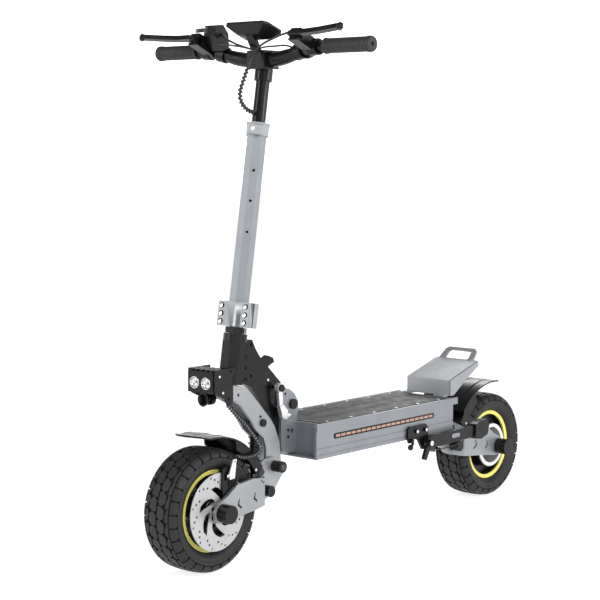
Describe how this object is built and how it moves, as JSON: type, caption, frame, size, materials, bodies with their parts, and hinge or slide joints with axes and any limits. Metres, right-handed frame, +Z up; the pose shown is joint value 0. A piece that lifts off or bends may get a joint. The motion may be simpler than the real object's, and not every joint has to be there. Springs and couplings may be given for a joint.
{
  "type": "electric kick scooter",
  "caption": "Folding electric kick scooter with knobbly tyres, swing-arm suspension, telescoping stem, disc brakes, kick plate, side lights and a side stand.",
  "frame": {"origin": "on the floor, midway between the two axles and midway between the grips", "axes": "+X forward, +Y to the rider's left, +Z up"},
  "size_m": [1.245, 0.59, 1.1168],
  "materials": {
    "frame_silver": "satin anodised silver grey",
    "plate_silver": "bead-blasted pale silver",
    "black_metal": "black satin powder coat",
    "black_alloy": "black anodised, satin",
    "black_plastic": "moulded black plastic",
    "grip_rubber": "ribbed dark rubber",
    "tyre_rubber": "knobbly dark grey rubber",
    "mat_rubber": "black rubber mat with raised waves",
    "rim_black": "black rim with yellow edge rings",
    "hub_metal": "machined hub with dark cover",
    "bright_steel": "brushed bright steel",
    "chrome": "chromed",
    "amber_light": "amber light strip behind clear cover",
    "red_light": "red lens",
    "lens_glass": "clear lens over a bright reflector",
    "screen": "black housing with a glossy face",
    "cable_black": "black spiral-wrapped cable",
    "spring_steel": "dark coated spring",
    "battery": "shrink-wrapped cells",
    "button_red": "soft button",
    "button_green": "soft button",
    "button_yellow": "soft button"
  },
  "bodies": {
    "chassis": {"deck_tub": "frame_silver", "deck_lid": "black_alloy", "deck_mat": "mat_rubber", "battery_pack": "battery", "controller": "black_alloy", "side_lights": "amber_light", "fold_bracket": "frame_silver", "rear_bracket": "frame_silver", "chassis_fasteners": "black_metal", "kick_plate": "plate_silver", "tail_light": "red_light", "kickstand_bracket": "black_metal"},
    "kickstand": {"kickstand_leg": "black_metal"},
    "column": {"neck": "black_alloy"},
    "latch": {"latch_lever": "bright_steel"},
    "steering": {"fork": "plate_silver", "stem_clamp": "plate_silver", "stem_tube": "frame_silver", "height_collar": "plate_silver", "steering_fasteners": "black_metal", "headlight": "black_plastic", "headlight_lenses": "lens_glass", "horn": "black_plastic", "front_brake_cable": "cable_black"},
    "cockpit": {"height_tube": "black_alloy", "bar_clamp": "black_alloy", "handlebar": "black_alloy", "grips": "grip_rubber", "lever_perches": "black_alloy", "control_pods": "black_plastic", "display": "screen", "stem_loom": "cable_black"},
    "brake_lever_left": {"brake_lever_left": "black_alloy"},
    "brake_lever_right": {"brake_lever_right": "black_alloy"},
    "throttle": {"throttle_trigger": "black_plastic"},
    "power_button": {"power_button": "button_red"},
    "lamp_button": {"lamp_button": "button_green"},
    "horn_button": {"horn_button": "button_yellow"},
    "front_arm": {"front_swing_arm": "plate_silver", "front_fender": "black_plastic", "front_caliper": "black_alloy", "front_axle": "black_metal"},
    "front_caliper_arm": {"front_caliper_arm": "bright_steel"},
    "front_shock_body": {"front_shock_body": "black_metal"},
    "front_shock_shaft": {"front_shock_shaft": "chrome", "front_shock_spring": "spring_steel"},
    "front_wheel": {"front_tyre": "tyre_rubber", "front_rim": "rim_black", "front_rotor": "bright_steel"},
    "rear_arm": {"rear_swing_arm": "plate_silver", "rear_fender": "black_plastic", "rear_caliper": "black_alloy", "rear_axle": "black_metal"},
    "rear_caliper_arm": {"rear_caliper_arm": "bright_steel"},
    "rear_shock_body": {"rear_shock_body": "black_metal"},
    "rear_shock_shaft": {"rear_shock_shaft": "chrome", "rear_shock_spring": "spring_steel"},
    "rear_wheel": {"rear_tyre": "tyre_rubber", "rear_rim": "hub_metal", "rear_rotor": "bright_steel"}
  },
  "joints": [
    {"name": "fold", "type": "hinge", "parent": "chassis", "child": "column", "pos_m": [0.231, 0, 0.314], "axis": [0, -1, 0], "range_deg": [0, 85]},
    {"name": "fold_latch", "type": "hinge", "parent": "column", "child": "latch", "pos_m": [0.283, 0, 0.355], "axis": [0, -1, 0], "range_deg": [0, 24], "stiffness_Nm_per_rad": 0.5, "springref_deg": -17.19},
    {"name": "steer", "type": "hinge", "parent": "column", "child": "steering", "pos_m": [0.39937, 0, 0.42], "axis": [-0.1599, 0, 0.9871], "range_deg": [-35, 35]},
    {"name": "bar_height", "type": "slide", "parent": "steering", "child": "cockpit", "axis": [-0.1599, 0, 0.9871], "range_m": [-0.06, 0.06], "deforming": ["stem_loom"]},
    {"name": "brake_left", "type": "hinge", "parent": "cockpit", "child": "brake_lever_left", "pos_m": [0.366, 0.136, 1.084], "axis": [-0.3907, 0, 0.9205], "range_deg": [0, 20], "stiffness_Nm_per_rad": 2, "springref_deg": -11.46},
    {"name": "brake_right", "type": "hinge", "parent": "cockpit", "child": "brake_lever_right", "pos_m": [0.366, -0.136, 1.084], "axis": [0.3907, 0, -0.9205], "range_deg": [0, 20], "stiffness_Nm_per_rad": 2, "springref_deg": -11.46},
    {"name": "throttle", "type": "hinge", "parent": "cockpit", "child": "throttle", "pos_m": [0.346, -0.118, 1.105], "axis": [0, 0, -1], "range_deg": [0, 25], "stiffness_Nm_per_rad": 0.3, "springref_deg": -11.46},
    {"name": "power_press", "type": "slide", "parent": "cockpit", "child": "power_button", "axis": [0.342, 0, -0.9397], "range_m": [0, 0.0015], "stiffness_N_per_m": 500, "springref_m": -0.001},
    {"name": "lamp_press", "type": "slide", "parent": "cockpit", "child": "lamp_button", "axis": [0.6691, 0, -0.7431], "range_m": [0, 0.0015], "stiffness_N_per_m": 500, "springref_m": -0.001},
    {"name": "horn_press", "type": "slide", "parent": "cockpit", "child": "horn_button", "axis": [0.6691, 0, -0.7431], "range_m": [0, 0.0015], "stiffness_N_per_m": 500, "springref_m": -0.001},
    {"name": "front_bump", "type": "hinge", "parent": "steering", "child": "front_arm", "pos_m": [0.305, 0, 0.192], "axis": [0, -1, 0], "range_deg": [0, 10], "stiffness_Nm_per_rad": 900, "springref_deg": -4.58, "deforming": ["front_brake_cable"]},
    {"name": "front_shock_swing", "type": "hinge", "parent": "steering", "child": "front_shock_body", "pos_m": [0.331, 0, 0.286], "axis": [0, -1, 0], "range_deg": [0, 4]},
    {"name": "front_shock_stroke", "type": "slide", "parent": "front_shock_body", "child": "front_shock_shaft", "axis": [-0.0712, 0, 0.9975], "range_m": [0, 0.0064], "deforming": ["front_shock_spring"]},
    {"name": "front_spin", "type": "hinge", "parent": "front_arm", "child": "front_wheel", "pos_m": [0.495, 0, 0.1275], "axis": [0, 1, 0], "continuous": true},
    {"name": "front_caliper_pull", "type": "hinge", "parent": "front_arm", "child": "front_caliper_arm", "pos_m": [0.465, 0, 0.197], "axis": [0, 1, 0], "range_deg": [0, 16]},
    {"name": "rear_bump", "type": "hinge", "parent": "chassis", "child": "rear_arm", "pos_m": [-0.305, 0, 0.192], "axis": [0, 1, 0], "range_deg": [0, 10], "stiffness_Nm_per_rad": 900, "springref_deg": -4.58},
    {"name": "rear_shock_swing", "type": "hinge", "parent": "chassis", "child": "rear_shock_body", "pos_m": [-0.331, 0, 0.286], "axis": [0, 1, 0], "range_deg": [0, 4]},
    {"name": "rear_shock_stroke", "type": "slide", "parent": "rear_shock_body", "child": "rear_shock_shaft", "axis": [0.0712, 0, 0.9975], "range_m": [0, 0.0064], "deforming": ["rear_shock_spring"]},
    {"name": "rear_spin", "type": "hinge", "parent": "rear_arm", "child": "rear_wheel", "pos_m": [-0.495, 0, 0.1275], "axis": [0, 1, 0], "continuous": true},
    {"name": "rear_caliper_pull", "type": "hinge", "parent": "rear_arm", "child": "rear_caliper_arm", "pos_m": [-0.465, 0, 0.197], "axis": [0, -1, 0], "range_deg": [0, 16]},
    {"name": "stand", "type": "hinge", "parent": "chassis", "child": "kickstand", "pos_m": [-0.149, 0, 0.187], "axis": [0, -1, 0], "range_deg": [0, 130]}
  ],
  "couplings": [
    {"joint": "front_shock_swing", "follows": "front_bump", "ratio": 0.34},
    {"joint": "front_shock_stroke", "follows": "front_bump", "m_per_rad": 0.035},
    {"joint": "front_caliper_pull", "follows": "brake_left", "ratio": 0.75},
    {"joint": "rear_shock_swing", "follows": "rear_bump", "ratio": 0.34},
    {"joint": "rear_shock_stroke", "follows": "rear_bump", "m_per_rad": 0.035},
    {"joint": "rear_caliper_pull", "follows": "brake_right", "ratio": 0.75}
  ]
}
